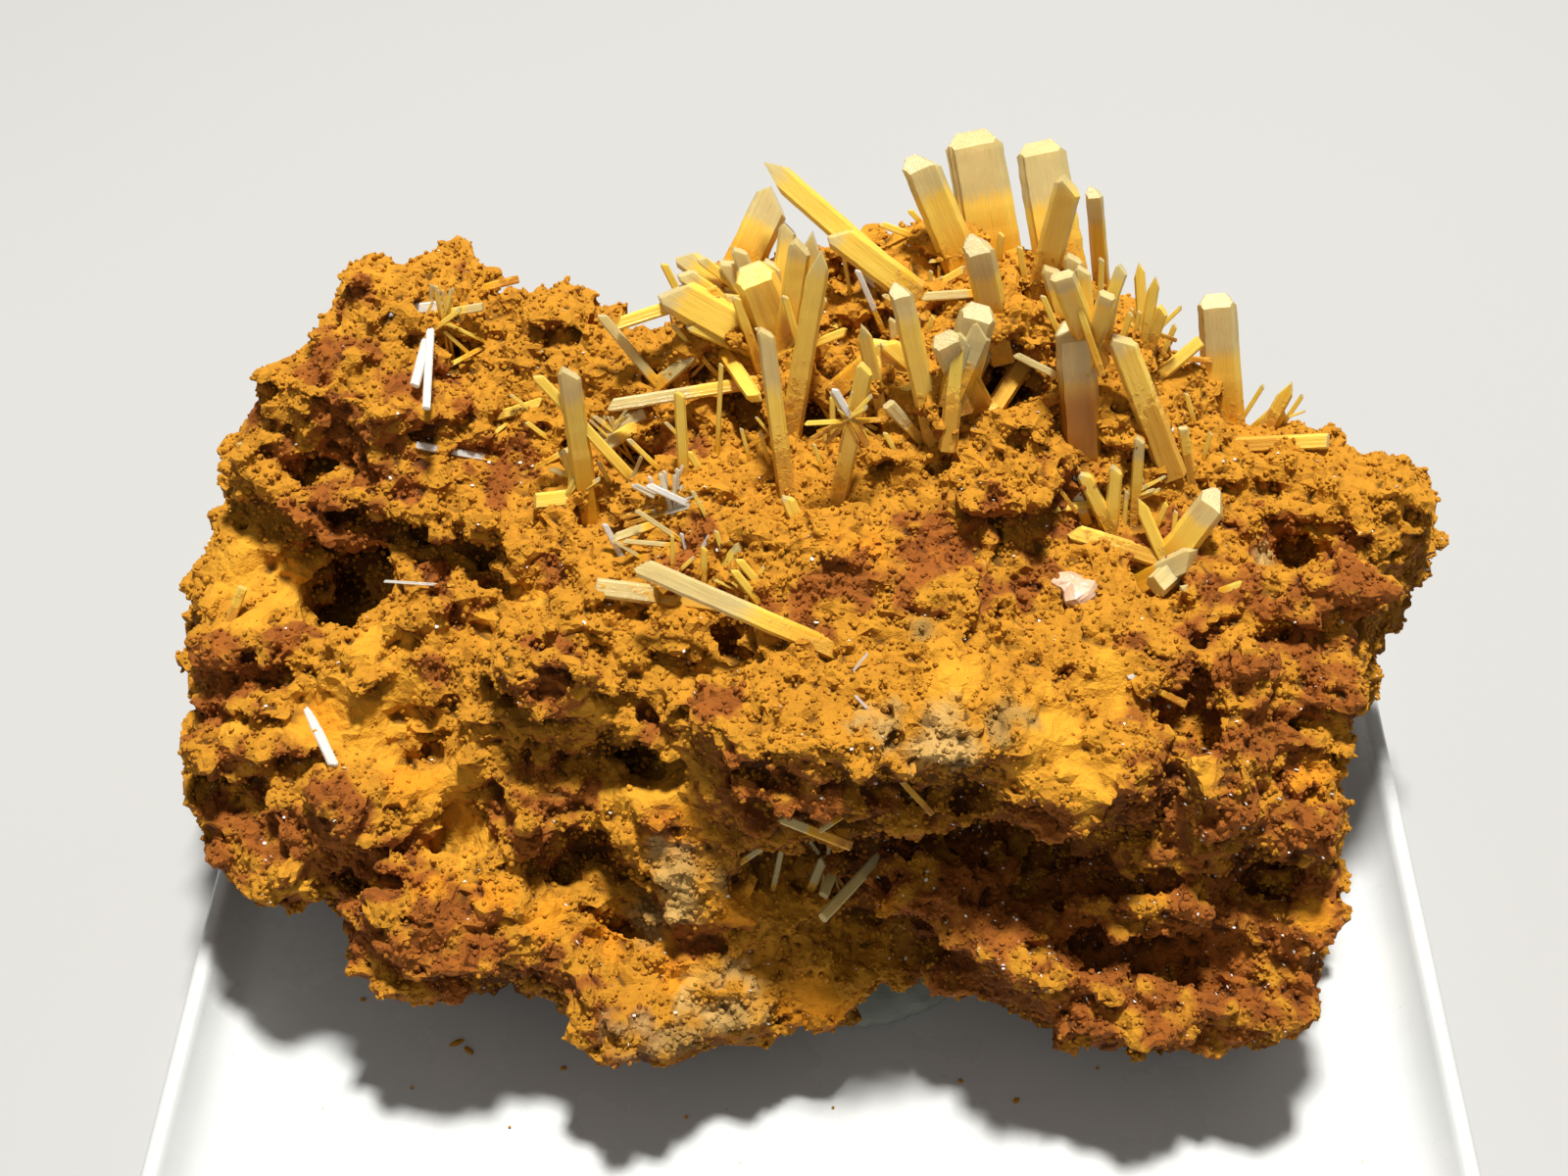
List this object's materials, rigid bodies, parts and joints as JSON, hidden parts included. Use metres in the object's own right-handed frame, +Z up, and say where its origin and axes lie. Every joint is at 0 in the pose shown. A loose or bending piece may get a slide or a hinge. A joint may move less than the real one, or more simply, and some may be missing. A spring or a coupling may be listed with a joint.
{
  "type": "gypsum crystals on limonite matrix",
  "caption": "Honey-coloured gypsum prisms and needles standing on crumbly ochre limonite, held by grey putty on the white base of a specimen box.",
  "frame": {"origin": "middle of the underside of the box base", "axes": "+Z up, +Y to the back of the specimen, away from the side it is viewed from, +X to the right as viewed"},
  "size_m": [0.0615, 0.06, 0.037],
  "materials": {
    "white_plastic": "smooth moulded, slightly glossy",
    "putty": "dull, pressed",
    "stone": "crumbly, matt, ochre to rust brown",
    "gypsum": "translucent honey, striated along its length, paler and clearer at the tips",
    "pale_gypsum": "cloudy, pale"
  },
  "bodies": {
    "root": {"box_base": "white_plastic", "mounting_putty": "putty", "matrix": "stone", "pale_crust": "pale_gypsum", "back_blade": "gypsum", "back_wide_tablet": "gypsum", "back_clear_tablet": "gypsum", "back_side_blade": "gypsum", "back_thin_blade": "gypsum", "back_front_prism": "gypsum", "stubby_prism": "gypsum", "sword_blade": "gypsum", "long_needle": "gypsum", "far_left_prism": "gypsum", "far_left_needle": "gypsum", "centre_prism": "gypsum", "centre_short_blade": "gypsum", "block_prism": "gypsum", "centre_blade": "gypsum", "coated_prism": "gypsum", "upright_prism": "gypsum", "right_leaning_prism": "gypsum", "right_cross_needle": "gypsum", "right_tablet": "gypsum", "right_edge_blade": "gypsum", "right_lying_prism": "gypsum", "spray_right_needle": "gypsum", "lying_clear_needle": "gypsum", "grey_bar": "gypsum", "thin_upright_needle": "gypsum", "dusty_needle": "gypsum", "white_needle": "gypsum", "long_lying_blade": "gypsum", "grey_lying_blade": "gypsum", "front_small_prism": "gypsum", "cavity_left_needle": "gypsum", "cavity_right_needle": "gypsum", "white_splinter": "gypsum", "left_small_prism": "gypsum", "pale_stub": "gypsum", "grey_short_prism": "gypsum", "small_upright_prism": "gypsum", "leaning_blades": "gypsum", "fan_cluster": "gypsum", "rosette": "gypsum", "right_cluster": "gypsum", "right_needles": "gypsum", "right_spray": "gypsum", "glassy_knot": "gypsum", "clear_tipped_needles": "gypsum", "white_spray": "gypsum"}
  },
  "joints": []
}
